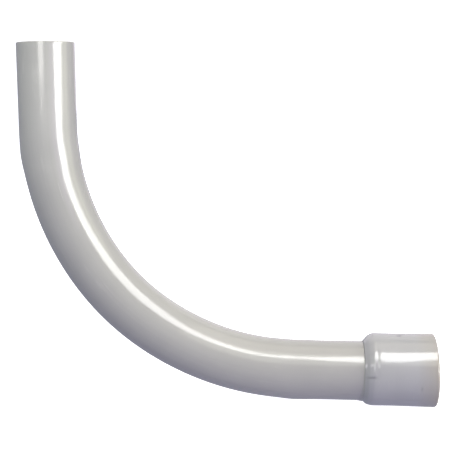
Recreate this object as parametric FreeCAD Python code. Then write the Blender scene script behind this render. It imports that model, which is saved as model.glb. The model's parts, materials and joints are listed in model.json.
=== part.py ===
import FreeCAD, Part
import math
import os

# A quarter-turn elbow for plastic electrical conduit, in millimetres. A bent tube has a plain
# end that points up (+Z) and another end that runs along +X into a coupling. The coupling is
# solvent welded to the tube, and its free socket takes the next length of conduit.
# The origin is the centre of the socket's mouth, and the whole elbow is symmetric about y = 0.

# The tube: trade size 3/4, schedule 40.
TUBE_OD = 26.67
TUBE_WALL = 2.87
BEND_RADIUS = 114.3  # to the tube's centre line
BEND_ANGLE = 90.0
PLAIN_LEG = 38.1  # straight tube from the bend to the plain end
BEND_TO_NECK = 31.0  # straight tube from the bend to the coupling
PLAIN_END_BREAK = 0.3  # the saw-cut end's edges are broken by this much

# The coupling.
COUPLING_LENGTH = 33.0
SOCKET_BORE = 27.05  # the free socket, halfway between its entrance and bottom sizes
SOCKET_DEPTH = 18.4
MOUTH_BREAK = 0.4
STOP_BORE = 23.4  # the ring inside that both tubes butt against
STOP_WIDTH = 1.6
MOUTH_OD = 33.5
SHOULDER_OD = 32.9  # where the shoulder's curve meets the body, a little less than the mouth
NECK_OD = 27.7  # the coupling's thin edge at the neck
SHOULDER_ANGLE = 45.0  # of the slope that rises from the neck
SHOULDER_CURVE = 5.4  # the radius that rounds the slope into the body

# The solvent cement: a film in the joint and a bead where it squeezed out at the neck.
CEMENT_GAP = 0.15
BEAD_LENGTH = 0.6

HAIR = 1e-6  # two heights closer than this are the same height

TUBE_R = TUBE_OD / 2
BORE_R = TUBE_R - TUBE_WALL
JOINT_R = TUBE_R + CEMENT_GAP
STOP_FRONT = -SOCKET_DEPTH
STOP_BACK = STOP_FRONT - STOP_WIDTH
NECK = -COUPLING_LENGTH
BEND_END = NECK - BEND_TO_NECK
AXIS_X = FreeCAD.Vector(1, 0, 0)
AXIS_Y = FreeCAD.Vector(0, 1, 0)
AXIS_Z = FreeCAD.Vector(0, 0, 1)
BEND_CENTRE = FreeCAD.Vector(BEND_END, 0, BEND_RADIUS)


def ring_face(centre, normal):
    """The tube's cross-section at one point of its centre line."""
    outer = Part.Wire(Part.makeCircle(TUBE_R, centre, normal))
    inner = Part.Wire(Part.makeCircle(BORE_R, centre, normal))
    return Part.makeFace([outer, inner], "Part::FaceMakerBullseye")


def turned(outline):
    """The ring that a closed outline of (x, radius) edges makes around the coupling's axis."""
    return Part.Face(Part.Wire(outline)).revolve(FreeCAD.Vector(0, 0, 0), AXIS_X, 360)


def at(x, radius):
    return FreeCAD.Vector(x, 0, radius)


def line(start, end):
    return Part.LineSegment(start, end).toShape()


def chain(points):
    """Straight edges through the points in order."""
    return [line(a, b) for a, b in zip(points, points[1:])]


def conduit_bend():
    """One bent tube: a short leg into the coupling, the quarter bend and the plain leg."""
    short_leg = ring_face(FreeCAD.Vector(BEND_END, 0, 0), AXIS_X).extrude(
        AXIS_X * (STOP_BACK - BEND_END)
    )
    bend = ring_face(FreeCAD.Vector(BEND_END, 0, 0), AXIS_X).revolve(
        BEND_CENTRE, AXIS_Y, BEND_ANGLE
    )
    foot = FreeCAD.Vector(BEND_END - BEND_RADIUS, 0, BEND_RADIUS)
    plain_leg = ring_face(foot, AXIS_Z).extrude(AXIS_Z * PLAIN_LEG)
    tube = bend.fuse([short_leg, plain_leg]).removeSplitter()
    top = BEND_RADIUS + PLAIN_LEG
    rims = [e for e in tube.Edges if abs(e.CenterOfMass.z - top) < HAIR]
    return tube.makeChamfer(PLAIN_END_BREAK, rims).Solids[0]


def shoulder():
    """The outside from the neck's edge to the body: a slope, then a curve that ends level."""
    slope = math.radians(SHOULDER_ANGLE)
    curve_rise = SHOULDER_CURVE * (1 - math.cos(slope))
    slope_rise = (SHOULDER_OD - NECK_OD) / 2 - curve_rise
    start = at(NECK, NECK_OD / 2)
    tangent = at(NECK + slope_rise / math.tan(slope), NECK_OD / 2 + slope_rise)
    centre_x = tangent.x + SHOULDER_CURVE * math.sin(slope)
    centre_r = SHOULDER_OD / 2 - SHOULDER_CURVE
    half = math.radians(90 + SHOULDER_ANGLE / 2)
    middle = at(
        centre_x + SHOULDER_CURVE * math.cos(half),
        centre_r + SHOULDER_CURVE * math.sin(half),
    )
    end = at(centre_x, SHOULDER_OD / 2)
    return [line(start, tangent), Part.Arc(tangent, middle, end).toShape()], end


def socket_coupling():
    """The coupling: a stop ring inside, a free socket in front and the welded joint behind."""
    outside, body_start = shoulder()
    rest = chain(
        [
            body_start,
            at(0, MOUTH_OD / 2),
            at(0, SOCKET_BORE / 2 + MOUTH_BREAK),
            at(-MOUTH_BREAK, SOCKET_BORE / 2),
            at(STOP_FRONT, SOCKET_BORE / 2),
            at(STOP_FRONT, STOP_BORE / 2),
            at(STOP_BACK, STOP_BORE / 2),
            at(STOP_BACK, JOINT_R),
            at(NECK, JOINT_R),
            at(NECK, NECK_OD / 2),
        ]
    )
    return turned(outside + rest)


def cement_bond():
    """The solvent cement, from the stop ring to the neck, with its bead outside."""
    points = [
        at(STOP_BACK, TUBE_R),
        at(STOP_BACK, JOINT_R),
        at(NECK, JOINT_R),
        at(NECK, NECK_OD / 2),
        at(NECK - BEAD_LENGTH, TUBE_R),
        at(STOP_BACK, TUBE_R),
    ]
    return turned(chain(points))


PARTS = {
    "conduit_bend": conduit_bend,
    "socket_coupling": socket_coupling,
    "cement_bond": cement_bond,
}

os.makedirs("parts", exist_ok=True)
for node, build in PARTS.items():
    shape = build()
    assert shape.isValid() and len(shape.Solids) == 1, node
    shape.exportStep(f"parts/{node}.step")
    box = shape.BoundBox
    print(node, "volume", round(shape.Volume, 1), "mm3, box", box)
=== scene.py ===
import json
import math

import bmesh
import bpy
from mathutils import Euler, Matrix, Vector, noise

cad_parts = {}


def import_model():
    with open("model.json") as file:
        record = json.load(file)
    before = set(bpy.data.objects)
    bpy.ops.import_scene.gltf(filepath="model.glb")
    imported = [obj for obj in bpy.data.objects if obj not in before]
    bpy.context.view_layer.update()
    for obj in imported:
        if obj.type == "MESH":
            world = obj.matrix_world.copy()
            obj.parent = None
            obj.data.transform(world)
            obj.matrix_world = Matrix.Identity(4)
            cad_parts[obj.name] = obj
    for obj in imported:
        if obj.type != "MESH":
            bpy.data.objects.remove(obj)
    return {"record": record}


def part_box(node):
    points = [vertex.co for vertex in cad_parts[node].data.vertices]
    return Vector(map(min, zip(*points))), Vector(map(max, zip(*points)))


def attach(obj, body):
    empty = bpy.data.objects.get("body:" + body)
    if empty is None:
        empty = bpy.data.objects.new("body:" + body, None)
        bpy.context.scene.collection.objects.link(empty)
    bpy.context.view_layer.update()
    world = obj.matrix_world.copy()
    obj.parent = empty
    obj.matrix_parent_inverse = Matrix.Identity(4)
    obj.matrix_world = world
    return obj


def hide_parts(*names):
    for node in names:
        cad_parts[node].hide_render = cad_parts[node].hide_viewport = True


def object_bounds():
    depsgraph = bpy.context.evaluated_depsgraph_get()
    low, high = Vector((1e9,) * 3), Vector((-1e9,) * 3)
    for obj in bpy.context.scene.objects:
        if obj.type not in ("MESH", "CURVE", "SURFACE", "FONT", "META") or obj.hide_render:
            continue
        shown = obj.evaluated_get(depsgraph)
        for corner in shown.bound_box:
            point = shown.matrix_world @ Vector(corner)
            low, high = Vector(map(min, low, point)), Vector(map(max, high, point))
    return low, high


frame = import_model()
cad_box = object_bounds()
mounts = {m["name"]: m for m in frame["record"]["mounts"]}
MM = 0.001

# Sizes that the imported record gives, in metres.
TUBE_R = mounts["plain_end"]["dims"]["r_mm"] * MM
BORE_R = mounts["wireway_lower"]["dims"]["r_mm"] * MM
SOCKET_R = mounts["socket"]["dims"]["r_mm"] * MM
SHORT_LEG = mounts["wireway_lower"]["dims"]["length_mm"] * MM
TUBE_END_X = mounts["wireway_lower"]["pos_m"][0]
PLAIN_X, _, PLAIN_TOP = mounts["plain_end"]["pos_m"]
BEND_END_X = TUBE_END_X - SHORT_LEG
BEND_RADIUS = BEND_END_X - PLAIN_X
BEND_LENGTH = BEND_RADIUS * math.pi / 2
PLAIN_LEG = PLAIN_TOP - BEND_RADIUS
TUBE_LENGTH = SHORT_LEG + BEND_LENGTH + PLAIN_LEG
COUPLING_LOW, COUPLING_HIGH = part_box("socket_coupling")
_, BEAD_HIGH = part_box("cement_bond")

# The coupling's section, in metres from the mouth's plane and the axis.
JOINT_R = TUBE_R + 0.15 * MM  # a film of cement lies between the tube and the coupling
NECK_R = BEAD_HIGH.z
MOUTH_R = COUPLING_HIGH.z
NECK_X = COUPLING_LOW.x
SHOULDER = (  # (x, radius) where the shoulder turns: a cone, then a crown
    (NECK_X, NECK_R),
    (-31.6 * MM, 15.35 * MM),
    (-30.9 * MM, 15.85 * MM),
    (-29.3 * MM, 16.44 * MM),
    (-28.6 * MM, 16.56 * MM),
    (-27.4 * MM, 16.60 * MM),
    (-24.4 * MM, 16.56 * MM),
    (-20.0 * MM, 16.52 * MM),
)
RIM = 0.9 * MM  # the rounding of the mouth's outer edge
LEAD = 0.9 * MM  # the chamfer at the socket's entrance
LEAD_OUT = 1.0 * MM  # the length over which the chamfer runs out into the socket
LEAD_OUT_RISE = 0.25 * MM  # the radius left to lose where that stretch starts
TAPER = 0.1 * MM  # the socket's radius is this much more at its entrance, and less at its bottom
BOTTOM_ROUND = 0.4 * MM  # the socket's depth past its straight wall
STOP_FRONT = -mounts["socket"]["dims"]["length_mm"] * MM - BOTTOM_ROUND
STOP_R = 11.7 * MM
STOP_EDGE = 0.35 * MM  # the rounding of the stop ring's edge

# The moulded coupling isn't quite true to the tube.
RISE = 0.56 * MM  # how far its outside lies above the tube's axis
RISE_LENGTH = 4.5 * MM  # of the shoulder, over which the rise builds up
SOCKET_RISE = 0.30 * MM  # the rise of the free socket, at its entrance
LEAN_AT_NECK = 0.028  # of the planes across it, as x per z
LEAN_AT_MOUTH = -0.010
SET_BACK = abs(LEAN_AT_MOUTH) * MOUTH_R  # keeps the leaning mouth behind its drawn plane

# The cement bead at the neck, in metres.
BEAD_SHORT = 0.15 * MM  # its length along the tube on top
BEAD_LONG = 2.3 * MM  # the same underneath
BEAD_LUMP = 0.5 * MM  # how much its lumps add
BEAD_SUNK = 0.05 * MM  # how far its edge dips into the tube's skin
BEAD_SLOPE = 0.8  # 1 would be a straight slope down to the tube, and less is fuller

# In front, the outside sinks behind the shoulder's crown, then swells: place, spread, depth.
WAVES = (
    (-27.7 * MM, 0.8 * MM, 0.22 * MM),
    (-26.1 * MM, 0.9 * MM, -0.10 * MM),
)
WAVES_ANGLE, WAVES_SPREAD = -55, 20  # degrees: from the top, and to each side of that

# Marks on the coupling's outside. Each is a patch (x, angle from the top in degrees, half-length,
# half-width), its depth or thickness, and how much dirt covers it, or for a smear how strong its
# painted highlight is, from 0 to 1.
NICKS = (
    ((-30.2 * MM, -85, 2.1 * MM, 0.55 * MM), 0.16 * MM, 0.6),
    ((-16.8 * MM, -4, 1.3 * MM, 0.6 * MM), 0.18 * MM, 1),
    ((-7.9 * MM, -102, 0.5 * MM, 1.1 * MM), 0.02 * MM, 0.32),
)
# Smears: patches raised a little on the shoulder near the neck, whose light colour is a painted
# highlight.
PAINTED_HIGHLIGHT_SMEARS = (
    ((-32.7 * MM, -64, 0.5 * MM, 0.9 * MM), 0.04 * MM, 0.8),
    ((-30.3 * MM, -65, 0.8 * MM, 0.6 * MM), 0.04 * MM, 0.5),
)

# The tube as it left the bending former. Places are metres along it from its welded end.
LOWER_END = SHORT_LEG
UPPER_END = SHORT_LEG + BEND_LENGTH
FULL_SHARE = 0.022  # of the radius in the plane of the bend, on the short leg
FLAT_SHARE = -0.007  # the same past the middle of the bend
FLAT_FROM = LOWER_END + 120 * MM
FULLNESS = (  # where the former's ends pinched the tube wider: place, spread, share
    (LOWER_END, 8 * MM, 0.018),
    (UPPER_END - 13 * MM, 6.5 * MM, 0.022),
)
DRIFTS = (  # where the tube's middle lies outside the drawn arc: place, spread, distance
    (UPPER_END - 90 * MM, 28 * MM, 0.34 * MM),
    (UPPER_END - 13 * MM, 7 * MM, 0.12 * MM),
)
LEG_DRIFT = 0.30 * MM  # the same on the short leg, fading out in the first of the bend
LEG_DRIFT_END = LOWER_END + 9 * MM
NECK_S = TUBE_END_X - NECK_X  # where the coupling's neck is along the tube
JOINT_BLEND = 1.7 * MM  # the tube is true inside the coupling, up to this far from the neck

# The saw cut at the plain end is a little out of square: highest in front, lower toward the left.
CUT_SLOPE = 0.034  # z lost per metre behind the front
CUT_FALL = 0.008  # z lost per metre to the left
CUT_REACH = 12 * MM  # of the tube, over which the rings lean into the cut
CUT_EDGE = 0.35 * MM  # the rounding of the sawn edges

# How finely the meshes are divided.
TUBE_AROUND = 160  # points round a ring
TUBE_STATIONS = 300  # rings along the tube, outside and in
CUT_RINGS = 8  # across the wall at the sawn face
COUPLING_AROUND = 256
BODY_RINGS = 110  # along the coupling's outside, past the shoulder
BEAD_STEPS = 9


# ---------------------------------------------------------------- mesh helpers
def new_piece(name, bm, node):
    """An object from a bmesh, smooth shaded, that stands for a CAD node."""
    bmesh.ops.recalc_face_normals(bm, faces=bm.faces)
    mesh = bpy.data.meshes.new(name)
    bm.to_mesh(mesh)
    bm.free()
    for face in mesh.polygons:
        face.use_smooth = True
    piece = bpy.data.objects.new(name, mesh)
    bpy.context.collection.objects.link(piece)
    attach(piece, "root")
    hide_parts(node)
    return piece


def skin(bm, rings):
    """Quads from each ring to the next."""
    for a, b in zip(rings, rings[1:]):
        for i in range(len(a)):
            j = (i + 1) % len(a)
            bm.faces.new((a[i], a[j], b[j], b[i]))


def angles(count):
    """The directions of a ring's points, in radians."""
    return [2 * math.pi * i / count for i in range(count)]


def arc(centre_x, centre_r, radius, start, end, steps):
    """Points of an arc in the (x, radius) half-plane, with angles in degrees."""
    points = []
    for i in range(steps + 1):
        a = math.radians(start + (end - start) * i / steps)
        points.append((centre_x + radius * math.cos(a), centre_r + radius * math.sin(a)))
    return points


def run(start, end, steps):
    """Evenly spaced points from start up to, not including, end."""
    return [
        (start[0] + (end[0] - start[0]) * i / steps, start[1] + (end[1] - start[1]) * i / steps)
        for i in range(steps)
    ]


def rounded(points, rounds):
    """The chain of points with its corners cut again and again, its two ends kept."""
    for _ in range(rounds):
        cut = [points[0]]
        for (ax, ar), (bx, br) in zip(points, points[1:]):
            cut.append((0.75 * ax + 0.25 * bx, 0.75 * ar + 0.25 * br))
            cut.append((0.25 * ax + 0.75 * bx, 0.25 * ar + 0.75 * br))
        points = cut + [points[-1]]
    return points


def between(low, high, value):
    """0 below low, 1 above high, and a smooth step from one to the other."""
    t = min(max((value - low) / (high - low), 0), 1)
    return t * t * (3 - 2 * t)


def hump(value, centre, spread):
    """1 at the centre, fading to nothing on both sides."""
    return math.exp(-(((value - centre) / spread) ** 2))


# ---------------------------------------------------------------- the bent tube
def on_centre_line(s):
    """The centre line's point and outward side, s metres from the welded end."""
    if s <= LOWER_END:
        return Vector((TUBE_END_X - s, 0, 0)), Vector((0, 0, -1))
    if s <= UPPER_END:
        a = (s - LOWER_END) / BEND_RADIUS
        out = Vector((-math.sin(a), 0, -math.cos(a)))
        return Vector((BEND_END_X, 0, BEND_RADIUS)) + out * BEND_RADIUS, out
    return Vector((PLAIN_X, 0, BEND_RADIUS + s - UPPER_END)), Vector((-1, 0, 0))


def in_plane_share(s):
    """How much the radius in the plane of the bend differs from the drawn one, as a share."""
    share = FULL_SHARE + (FLAT_SHARE - FULL_SHARE) * between(LOWER_END, FLAT_FROM, s)
    for place, spread, amount in FULLNESS:
        share += amount * hump(s, place, spread)
    return share * between(NECK_S - JOINT_BLEND, NECK_S, s)


def outward_drift(s):
    """How far the tube's middle lies outside its drawn centre line."""
    drift = LEG_DRIFT * (1 - between(LOWER_END, LEG_DRIFT_END, s))
    for place, spread, distance in DRIFTS:
        drift += distance * hump(s, place, spread)
    return drift * between(NECK_S - JOINT_BLEND, NECK_S, s)


def leaned_into_cut(point, s):
    """The point moved down as the out-of-square cut needs, near the plain end."""
    lean = between(TUBE_LENGTH - CUT_REACH, TUBE_LENGTH, s)
    lost = CUT_SLOPE * (TUBE_R + point.y) + CUT_FALL * (TUBE_R - (point.x - PLAIN_X))
    return point - Vector((0, 0, lean * lost))


def tube_ring(bm, layers, s, radius, sawn=0):
    """One ring of the tube, with where each point lay on the straight tube, and if it is sawn."""
    straight, cut = layers
    centre, out = on_centre_line(s)
    centre = centre + out * outward_drift(s)
    share = in_plane_share(s)
    ring = []
    for a in angles(TUBE_AROUND):
        r = radius * (1 + share * math.cos(2 * a))
        point = centre + out * (r * math.cos(a)) + Vector((0, r * math.sin(a), 0))
        v = bm.verts.new(leaned_into_cut(point, s))
        v[straight] = Vector((radius * math.cos(a), radius * math.sin(a), s))
        v[cut] = sawn
        ring.append(v)
    return ring


def tube_outside(x, angle):
    """The short leg's outer radius, seen from the drawn axis, at an angle from the top."""
    s = TUBE_END_X - x
    share = in_plane_share(s)
    return TUBE_R * (1 + share * math.cos(2 * angle)) - outward_drift(s) * math.cos(angle)


def edge_round(turned):
    """How far a rounded edge's point is back from the face and in from the side, at an angle."""
    a = math.radians(turned)
    return CUT_EDGE * (1 - math.sin(a)), CUT_EDGE * (1 - math.cos(a))


def conduit_tube():
    """The hollow bent tube, from its welded end round to the saw cut and back inside."""
    bm = bmesh.new()
    straight = bm.verts.layers.float_vector.new("straight")
    cut = bm.verts.layers.float.new("cut")
    layers = (straight, cut)
    length = TUBE_LENGTH - 2 * CUT_EDGE
    stations = [CUT_EDGE + length * i / TUBE_STATIONS for i in range(TUBE_STATIONS + 1)]
    rings = [tube_ring(bm, layers, s, TUBE_R) for s in stations]
    for turned in (30, 60, 90):
        back, drop = edge_round(turned)
        rings.append(tube_ring(bm, layers, TUBE_LENGTH - back, TUBE_R - drop, 1))
    across = BORE_R - TUBE_R + 2 * CUT_EDGE
    for i in range(1, CUT_RINGS):
        radius = TUBE_R - CUT_EDGE + across * i / CUT_RINGS
        rings.append(tube_ring(bm, layers, TUBE_LENGTH, radius, 1))
    for turned in (90, 60, 30):
        back, drop = edge_round(turned)
        rings.append(tube_ring(bm, layers, TUBE_LENGTH - back, BORE_R + drop, 1))
    rings += [tube_ring(bm, layers, s, BORE_R) for s in reversed(stations)]
    for radius in (BORE_R + CUT_EDGE, (BORE_R + TUBE_R) / 2, TUBE_R - CUT_EDGE):
        rings.append(tube_ring(bm, layers, 0, radius, 1))
    skin(bm, rings + rings[:1])
    return new_piece("conduit_tube", bm, "conduit_bend")


# ---------------------------------------------------------------- the coupling
def coupling_outside():
    """The section from the neck to the mouth's outer edge, as (x, radius)."""
    step = 0.2 * MM
    body_x, body_r = SHOULDER[-1]
    points = [(NECK_X, NECK_R - step)] + rounded(list(SHOULDER), 3)
    points += run((body_x + step, body_r), (-RIM, MOUTH_R), BODY_RINGS)
    return points + arc(-RIM, MOUTH_R - RIM, RIM, 90, 0, 8)


def coupling_inside():
    """The section from the mouth's inner edge to the welded joint, as (x, radius)."""
    soft = 0.3 * MM
    entry_r, bottom_r = SOCKET_R + TAPER, SOCKET_R - TAPER
    points = arc(-soft, entry_r + LEAD + soft, soft, 0, -45, 3)
    points += run((-LEAD, entry_r + LEAD_OUT_RISE), (-LEAD - LEAD_OUT, entry_r), 4)
    points += run((-LEAD - LEAD_OUT, entry_r), (STOP_FRONT + soft, bottom_r), 24)
    points += arc(STOP_FRONT + soft, bottom_r - soft, soft, 90, 180, 4)
    points += arc(STOP_FRONT - STOP_EDGE, STOP_R + STOP_EDGE, STOP_EDGE, 0, -90, 5)
    return points + [(TUBE_END_X, STOP_R), (TUBE_END_X, JOINT_R), (NECK_X, JOINT_R)]


def off_angle(angle, degrees):
    """How far an angle is from a direction given in degrees, in degrees from -180 to 180."""
    return (math.degrees(angle) - degrees + 180) % 360 - 180


def patch_share(x, angle, radius, patch):
    """How much of a patch is here, from 0 outside it to 1 at its middle."""
    patch_x, patch_angle, half_length, half_width = patch
    along = abs((x - patch_x) / half_length) ** 3
    across = (math.radians(off_angle(angle, patch_angle)) * radius / half_width) ** 2
    return math.exp(-along - across)


def marks_here(x, angle, radius):
    """How far the marks lower the surface here, how much dirt there is, and how strong the smears'
    painted highlight is.
    """
    depth = dirt = cement = 0
    for patch, deep, cover in NICKS:
        share = patch_share(x, angle, radius, patch)
        depth += deep * share
        dirt = max(dirt, cover * share)
    # The smears carry a painted highlight: their light colour stands in for a reflection.
    for patch, thick, cover in PAINTED_HIGHLIGHT_SMEARS:
        share = patch_share(x, angle, radius, patch)
        depth -= thick * share
        cement = max(cement, cover * share)
    return depth, dirt, cement


def wave_depth(x, angle):
    """How far the waves behind the shoulder lower the surface here."""
    depth = sum(amount * hump(x, place, spread) for place, spread, amount in WAVES)
    return depth * hump(off_angle(angle, WAVES_ANGLE), 0, WAVES_SPREAD)


def outside_point(x, radius, angle):
    """A point of the coupling's outside, leaning and rising as the real one does, and its marks."""
    toward_mouth = between(NECK_X, 0, x)
    depth, dirt, cement = marks_here(x, angle, radius)
    depth += wave_depth(x, angle)
    z = (radius - depth) * math.cos(angle)
    y = (radius - depth) * math.sin(angle)
    lean = LEAN_AT_NECK + (LEAN_AT_MOUTH - LEAN_AT_NECK) * toward_mouth
    rise = RISE * between(NECK_X, NECK_X + RISE_LENGTH, x)
    return Vector((x + lean * z - SET_BACK * toward_mouth, y, z + rise)), dirt, cement


def inside_point(x, radius, angle):
    """A point of the coupling's inside; only the free socket shares the mouth's lean and rise."""
    toward_mouth = between(STOP_FRONT, 0, x)
    z = radius * math.cos(angle)
    shift = toward_mouth * (LEAN_AT_MOUTH * z - SET_BACK)
    return Vector((x + shift, radius * math.sin(angle), z + SOCKET_RISE * toward_mouth)), 0, 0


def coupling():
    """The moulded coupling, outside and in, with its marks stored on the points."""
    bm = bmesh.new()
    dirt_layer = bm.verts.layers.float.new("dirt")
    # This layer holds where a painted highlight lies on the smears.
    painted_highlight_layer = bm.verts.layers.float.new("cement")
    rings = []
    for points, point_at in (
        (coupling_outside(), outside_point),
        (coupling_inside(), inside_point),
    ):
        for x, radius in points:
            ring = []
            for a in angles(COUPLING_AROUND):
                where, dirt, cement = point_at(x, radius, a)
                v = bm.verts.new(where)
                v[dirt_layer] = dirt
                v[painted_highlight_layer] = cement
                ring.append(v)
            rings.append(ring)
    skin(bm, rings + rings[:1])
    return new_piece("coupling", bm, "socket_coupling")


def bead_size(angle):
    """The bead's length along the tube and its height, at an angle from the top."""
    # Coarse and fine lumps, which join up after one turn round the neck.
    around = Vector((math.sin(angle), math.cos(angle), 0))
    lumps = 0.5 + 0.6 * noise.noise(around * 2.5) + 0.4 * noise.noise(around * 9)
    lumps = min(max(lumps, 0), 1)
    pooled = (0.5 - 0.5 * math.cos(angle)) ** 3  # it ran down before it set
    length = BEAD_SHORT + (BEAD_LONG - BEAD_SHORT) * pooled + BEAD_LUMP * lumps
    return length, (NECK_R - TUBE_R) * (0.5 + 0.2 * lumps + 0.3 * pooled)


def cement_bead():
    """The film in the joint and the uneven bead that squeezed out at the neck."""
    bm = bmesh.new()
    film = [(TUBE_END_X, TUBE_R), (TUBE_END_X, JOINT_R), (NECK_X, JOINT_R)]
    columns = []
    for a in angles(COUPLING_AROUND):
        length, height = bead_size(a)
        neck = NECK_X + LEAN_AT_NECK * NECK_R * math.cos(a)
        column = list(film)
        for i in range(BEAD_STEPS + 1):
            t = math.pi / 2 * i / BEAD_STEPS
            x = neck - length * math.sin(t)
            low = tube_outside(x, a) - BEAD_SUNK
            column.append((x, low + height * (1 - math.sin(t)) ** BEAD_SLOPE))
        column.append((NECK_X, TUBE_R - BEAD_SUNK))
        columns.append([bm.verts.new((x, r * math.sin(a), r * math.cos(a))) for x, r in column])
    rings = list(zip(*columns))
    skin(bm, rings + rings[:1])
    return new_piece("cement_bead", bm, "cement_bond")


# ---------------------------------------------------------------- materials
class Nodes:
    """A material's node tree, with short calls for the nodes used here."""

    def __init__(self, name):
        self.material = bpy.data.materials.new(name)
        self.material.use_nodes = True
        self.tree = self.material.node_tree
        self.shader = self.tree.nodes["Principled BSDF"]

    def add(self, kind, **settings):
        """A new node of this kind, with its settings."""
        node = self.tree.nodes.new(kind)
        for key, value in settings.items():
            setattr(node, key, value)
        return node

    def join(self, source, target):
        """A link from an output to an input."""
        self.tree.links.new(source, target)

    def place(self, attribute=None):
        """Where on the piece: its own coordinates, or a stored attribute."""
        if attribute:
            return self.add("ShaderNodeAttribute", attribute_name=attribute).outputs["Vector"]
        return self.add("ShaderNodeTexCoord").outputs["Object"]

    def value(self, attribute):
        """A number stored on the mesh's points."""
        return self.add("ShaderNodeAttribute", attribute_name=attribute).outputs["Fac"]

    def along_x(self, place):
        """The place's x alone."""
        node = self.add("ShaderNodeSeparateXYZ")
        self.join(place, node.inputs["Vector"])
        return node.outputs["X"]

    def stretched(self, place, scale, turn=(0, 0, 0)):
        """The place scaled along each axis, so that a noise there is drawn out or packed."""
        node = self.add("ShaderNodeMapping")
        node.inputs["Scale"].default_value = scale
        node.inputs["Rotation"].default_value = turn
        self.join(place, node.inputs["Vector"])
        return node.outputs["Vector"]

    def noise(self, place, scale, detail=3, roughness=0.5):
        """Noise from 0 to 1, with about as many lumps to the metre as its scale."""
        node = self.add("ShaderNodeTexNoise")
        node.inputs["Scale"].default_value = scale
        node.inputs["Detail"].default_value = detail
        node.inputs["Roughness"].default_value = roughness
        self.join(place, node.inputs["Vector"])
        return node.outputs["Fac"]

    def remap(self, value, low, high, to_low, to_high):
        """The value, with low to high stretched to a new range and cut off at its ends."""
        node = self.add("ShaderNodeMapRange")
        for key, number in zip(
            ("From Min", "From Max", "To Min", "To Max"), (low, high, to_low, to_high)
        ):
            node.inputs[key].default_value = number
        self.join(value, node.inputs["Value"])
        return node.outputs["Result"]

    def swing(self, value, low, high):
        """A noise, with its usual range stretched from low to high."""
        return self.remap(value, 0.3, 0.7, low, high)

    def maths(self, operation, a, b):
        """One sum on two values, each a number or another node's output."""
        node = self.add("ShaderNodeMath", operation=operation)
        for socket, value in zip(node.inputs, (a, b)):
            if isinstance(value, (int, float)):
                socket.default_value = value
            else:
                self.join(value, socket)
        return node.outputs["Value"]

    def total(self, first, *rest):
        """All the values added up."""
        for value in rest:
            first = self.maths("ADD", first, value)
        return first

    def tinted(self, colour, brightness):
        """The colour times a brightness that varies over the surface."""
        node = self.add("ShaderNodeVectorMath", operation="SCALE")
        node.inputs[0].default_value = colour
        self.join(brightness, node.inputs["Scale"])
        return node.outputs["Vector"]

    def mix(self, share, a, b):
        """Colour a turned into colour b by a share from 0 to 1."""
        node = self.add("ShaderNodeMix", data_type="RGBA")
        self.join(share, node.inputs["Factor"])
        for key, value in (("A", a), ("B", b)):
            socket = next(s for s in node.inputs if s.name == key and s.type == "RGBA")
            if isinstance(value, tuple):
                socket.default_value = (*value, 1)
            else:
                self.join(value, socket)
        return next(s for s in node.outputs if s.type == "RGBA")

    def bump(self, heights):
        """Bumps stacked in turn: (height, distance in metres, strength)."""
        normal = None
        for height, distance, strength in heights:
            node = self.add("ShaderNodeBump")
            node.inputs["Distance"].default_value = distance
            node.inputs["Strength"].default_value = strength
            self.join(height, node.inputs["Height"])
            if normal:
                self.join(normal, node.inputs["Normal"])
            normal = node.outputs["Normal"]
        self.join(normal, self.shader.inputs["Normal"])

    def finish(self, colour, roughness, ior):
        """The material, with its colour and gloss joined to the shader."""
        self.join(colour, self.shader.inputs["Base Color"])
        self.join(roughness, self.shader.inputs["Roughness"])
        self.shader.inputs["IOR"].default_value = ior
        return self.material


TUBE_COLOUR = (0.450, 0.441, 0.427)
COUPLING_COLOUR = (0.451, 0.448, 0.459)
CEMENT_COLOUR = (0.430, 0.426, 0.412)
DUST_COLOUR = (0.60, 0.59, 0.57)  # of rubbed, scratched and sawn plastic
STAIN_COLOUR = (0.43, 0.39, 0.335)  # at the coupling's mouth
DIRT_COLOUR = (0.20, 0.20, 0.21)  # in the nicks
# A painted highlight: the smears' light colour stands in for a reflection on the shoulder.
PAINTED_HIGHLIGHT_COLOUR = (0.86, 0.85, 0.86)
PVC_IOR = 1.53
CEMENT_IOR = 1.48


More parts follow.
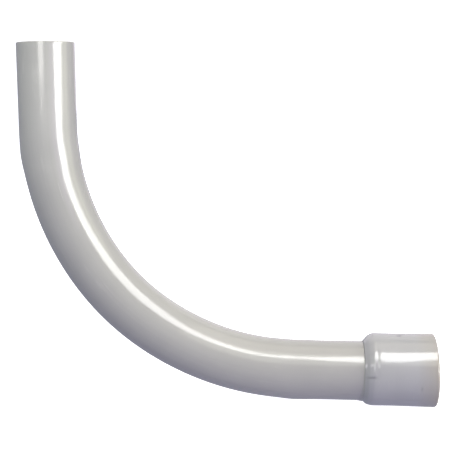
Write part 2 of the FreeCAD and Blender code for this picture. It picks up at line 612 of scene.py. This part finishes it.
def extruded_pvc():
    """Glossy extruded PVC: draw lines, mottling, rub marks, scratches, and sawn end faces."""
    n = Nodes("extruded_pvc")
    place = n.place("straight")
    cut = n.value("cut")
    mottling = n.noise(place, 70, 4)
    clouds = n.noise(n.stretched(place, (1, 1, 0.35)), 26, 2)
    lines = n.noise(n.stretched(place, (1, 1, 0.012)), 1100, 3)  # along the tube
    fine = n.noise(place, 2600, 2)
    rubs = n.noise(n.stretched(place, (1, 1, 0.22)), 260, 5, 0.65)
    rubbed = n.remap(rubs, 0.60, 0.72, 0, 1)
    scratches = n.noise(n.stretched(place, (1.0, 0.8, 0.035), (0.5, 0.2, 0.1)), 700, 2)
    scratched = n.remap(scratches, 0.735, 0.76, 0, 1)
    brightness = n.total(
        n.swing(mottling, 0.98, 1.015),
        n.swing(clouds, -0.02, 0.02),
        n.swing(lines, -0.014, 0.014),
    )
    colour = n.mix(
        n.maths("MAXIMUM", n.maths("MULTIPLY", rubbed, 0.22), n.maths("MULTIPLY", scratched, 0.4)),
        n.tinted(TUBE_COLOUR, brightness),
        DUST_COLOUR,
    )
    saw = n.noise(n.stretched(place, (1, 0.03, 1)), 1800, 3, 0.6)  # marks from front to back
    swarf = n.tinted(DUST_COLOUR, n.swing(saw, 0.82, 1.0))
    colour = n.mix(cut, colour, swarf)
    gloss = n.total(
        n.swing(mottling, 0.13, 0.16),
        n.maths("MULTIPLY", rubbed, 0.08),
        n.maths("MULTIPLY", scratched, 0.15),
        n.maths("MULTIPLY", cut, 0.38),
    )
    sawn = n.maths("MULTIPLY", saw, cut)
    n.bump(
        [
            (lines, 0.015 * MM, 0.5),
            (mottling, 0.2 * MM, 0.25),
            (fine, 0.008 * MM, 0.4),
            (scratched, -0.02 * MM, 0.5),
            (sawn, 0.15 * MM, 0.8),
        ]
    )
    return n.finish(colour, gloss, PVC_IOR)


def moulded_pvc():
    """Glossy moulded PVC, a little cooler: flow mottling, nicks, a stained mouth, and smears whose
    light colour is a painted highlight.
    """
    n = Nodes("moulded_pvc")
    place = n.place()
    mottling = n.noise(place, 100, 4)
    clouds = n.noise(place, 45, 2)
    fine = n.noise(place, 3000, 2)
    rubs = n.noise(n.stretched(place, (1, 0.4, 0.4)), 420, 5, 0.7)
    rubbed = n.remap(rubs, 0.61, 0.74, 0, 1)
    brightness = n.total(n.swing(mottling, 0.98, 1.015), n.swing(clouds, -0.025, 0.025))
    colour = n.mix(
        n.maths("MULTIPLY", rubbed, 0.25), n.tinted(COUPLING_COLOUR, brightness), DUST_COLOUR
    )
    near_mouth = n.remap(n.along_x(place), -10 * MM, -1 * MM, 0, 0.95)
    stained = n.maths("MULTIPLY", near_mouth, n.remap(clouds, 0.35, 0.6, 0.4, 1))
    colour = n.mix(stained, colour, STAIN_COLOUR)
    colour = n.mix(n.value("dirt"), colour, DIRT_COLOUR)
    # Painted highlight on the smears.
    colour = n.mix(n.value("cement"), colour, PAINTED_HIGHLIGHT_COLOUR)
    gloss = n.total(n.swing(mottling, 0.11, 0.14), n.maths("MULTIPLY", rubbed, 0.1))
    n.bump([(mottling, 0.2 * MM, 0.25), (fine, 0.008 * MM, 0.4)])
    return n.finish(colour, gloss, PVC_IOR)


def cured_cement():
    """Solvent cement set to a smooth skin that has melted into the PVC."""
    n = Nodes("cured_cement")
    place = n.place()
    ripples = n.noise(place, 500, 3)
    colour = n.tinted(CEMENT_COLOUR, n.swing(ripples, 0.94, 1.04))
    gloss = n.swing(ripples, 0.14, 0.24)
    n.bump([(ripples, 0.08 * MM, 0.5)])
    return n.finish(colour, gloss, CEMENT_IOR)


def dress(piece, material):
    """The piece wears this material alone."""
    piece.data.materials.clear()
    piece.data.materials.append(material)


dress(conduit_tube(), extruded_pvc())
dress(coupling(), moulded_pvc())
dress(cement_bead(), cured_cement())

# ---------------------------------------------------------------- studio
# A program that fitted the elbow's outline found the camera's place and angles. Its shift is at
# the limit that was set for it, and the lens was chosen.
CAMERA_PLACE = Vector((-0.0736, -0.4080, 0.1410))
CAMERA_HEADING, CAMERA_PITCH, CAMERA_ROLL = -4.86, -8.51, -0.47  # degrees
CAMERA_LENS, CAMERA_SENSOR = 72.0, 36  # millimetres
CAMERA_SHIFT = 0.0556  # of the frame's width, to the right and down


def camera():
    """A long lens in front of the elbow, looking slightly down."""
    data = bpy.data.cameras.new("camera")
    data.lens = CAMERA_LENS
    data.sensor_width = CAMERA_SENSOR
    data.shift_x, data.shift_y = CAMERA_SHIFT, -CAMERA_SHIFT
    data.clip_start = 10 * MM
    cam = bpy.data.objects.new("camera", data)
    heading, pitch = math.radians(CAMERA_HEADING), math.radians(CAMERA_PITCH)
    forward = Vector(
        (
            math.sin(heading) * math.cos(pitch),
            math.cos(heading) * math.cos(pitch),
            math.sin(pitch),
        )
    )
    right = forward.cross(Vector((0, 0, 1))).normalized()
    up = right.cross(forward)
    turn = Matrix((right, up, -forward)).transposed()
    roll = Euler((0, 0, math.radians(CAMERA_ROLL))).to_matrix()
    cam.matrix_world = Matrix.Translation(CAMERA_PLACE) @ (turn @ roll).to_4x4()
    bpy.context.collection.objects.link(cam)
    bpy.context.scene.camera = cam


# The lights: place and aim from the elbow's middle, turn about the line between them in degrees,
# width and height, all in metres, then watts and colour. A fitting program found the three key
# strips and most of the watts and colours, here and in the world light. The rest was set one by one.
ELBOW_MIDDLE = (cad_box[0] + cad_box[1]) / 2
MIDDLE = (0.0, 0.0, 0.0)
ON_LEG = (-0.075, 0.0, 0.072)
STRIPS = {  # they make highlights alone
    "key_left": (
        (0.165, -0.065, 0.146), (0.145, 0.0, 0.150), -48.6, (0.119, 0.317), 1.07, (1, 1, 1)
    ),
    "key_middle": (
        (0.395, -0.329, 0.084), (0.375, 0.0, -0.145), -21.7, (0.162, 0.202), 0.93, (1, 1, 1)
    ),
    "key_right": (
        (0.475, -0.357, 0.036), (0.356, 0.0, -0.408), -56.3, (0.232, 0.256), 1.68, (1, 1, 1)
    ),
    "leg_strip": ((-0.120, -0.463, 0.142), ON_LEG, 0, (0.16, 0.17), 0.60, (1, 0.98, 0.96)),
}
FILLS = {  # they light the surface and shine in it
    "top": ((0.0, -0.148, 0.989), MIDDLE, 0, (1.2, 1.2), 5.1, (1, 0.90, 0.74)),
    "right": ((0.976, -0.195, 0.098), MIDDLE, 0, (1.0, 1.0), 5.8, (0.96, 1, 0.71)),
    "right_front": ((0.690, -0.690, -0.207), MIDDLE, 0, (0.8, 0.8), 2.3, (0.75, 0.60, 1)),
    "upper_front": ((0.0, -0.640, 0.768), MIDDLE, 0, (0.8, 0.8), 4.05, (0.99, 1, 0.88)),
    "back": ((0.0, 0.894, 0.447), MIDDLE, 0, (1.0, 1.0), 2.1, (1, 0.90, 0.95)),
    "leg_fill": ((-0.113, -0.213, 0.197), ON_LEG, 0, (0.16, 0.16), 0.12, (0.8, 1, 0.6)),
}
GLOWS = {  # they light the surface alone
    "leg_glow": (
        (-0.0720, -0.040, 0.061), (-0.0825, 0.0, 0.061), 0, (0.02, 0.04), 0.0020, (1, 1, 1)
    ),
}
WORLD_STRENGTH = 0.458
WORLD_COLOUR = (0.79, 0.81, 1)


def softbox(name, place, aim, turn, size, power, colour, diffuse=True, glossy=True):
    """A rectangular light, which the camera itself doesn't see."""
    data = bpy.data.lights.new(name, "AREA")
    data.shape = "RECTANGLE"
    data.size, data.size_y = size
    data.energy, data.color = power, colour
    light = bpy.data.objects.new(name, data)
    ahead = (Vector(aim) - Vector(place)).normalized()
    side = ahead.cross(Vector((0, 0, 1))).normalized()
    facing = Matrix((side, side.cross(ahead), -ahead)).transposed()
    turned = facing @ Euler((0, 0, math.radians(turn))).to_matrix()
    light.matrix_world = Matrix.Translation(ELBOW_MIDDLE + Vector(place)) @ turned.to_4x4()
    light.visible_camera = False
    light.visible_diffuse = diffuse
    light.visible_glossy = glossy
    bpy.context.collection.objects.link(light)


def floor():
    """A white floor that curves up into a wall and a ceiling, lit evenly, throwing no light back."""
    flat, curve, wall = 2.5, 1.5, 6.0  # metres: the flat's radius, the curve's, the wall's top
    gap = 0.2 * MM  # under the elbow
    low = cad_box[0].z - gap
    section = [(flat * i / 6, low) for i in range(1, 7)]
    for i in range(1, 13):
        a = math.pi / 2 * i / 12
        section.append((flat + curve * math.sin(a), low + curve * (1 - math.cos(a))))
    section.append((flat + curve, wall))
    bm = bmesh.new()
    rings = []
    for r, z in section:
        rings.append([bm.verts.new((r * math.cos(a), r * math.sin(a), z)) for a in angles(96)])
    skin(bm, rings)
    bm.faces.new(rings[0])
    bm.faces.new(reversed(rings[-1]))
    mesh = bpy.data.meshes.new("floor")
    bm.to_mesh(mesh)
    bm.free()
    piece = bpy.data.objects.new("floor", mesh)
    bpy.context.collection.objects.link(piece)
    piece.visible_diffuse = False
    piece.visible_glossy = False
    piece.visible_transmission = False
    piece.visible_shadow = False
    material = bpy.data.materials.new("white_floor")
    material.use_nodes = True
    shader = material.node_tree.nodes["Principled BSDF"]
    shader.inputs["Base Color"].default_value = (0.85, 0.85, 0.85, 1)
    shader.inputs["Roughness"].default_value = 0.9
    shader.inputs["Emission Color"].default_value = (1, 1, 1, 1)
    shader.inputs["Emission Strength"].default_value = 0.98
    dress(piece, material)


def world():
    """The even light that comes from everywhere."""
    studio = bpy.data.worlds.new("studio")
    bpy.context.scene.world = studio
    studio.use_nodes = True
    background = studio.node_tree.nodes["Background"]
    background.inputs["Color"].default_value = (*WORLD_COLOUR, 1)
    background.inputs["Strength"].default_value = WORLD_STRENGTH


camera()
floor()
world()
for light_name, settings in STRIPS.items():
    softbox(light_name, *settings, diffuse=False)
for light_name, settings in FILLS.items():
    softbox(light_name, *settings)
for light_name, settings in GLOWS.items():
    softbox(light_name, *settings, glossy=False)
bpy.context.scene.view_settings.view_transform = "Standard"
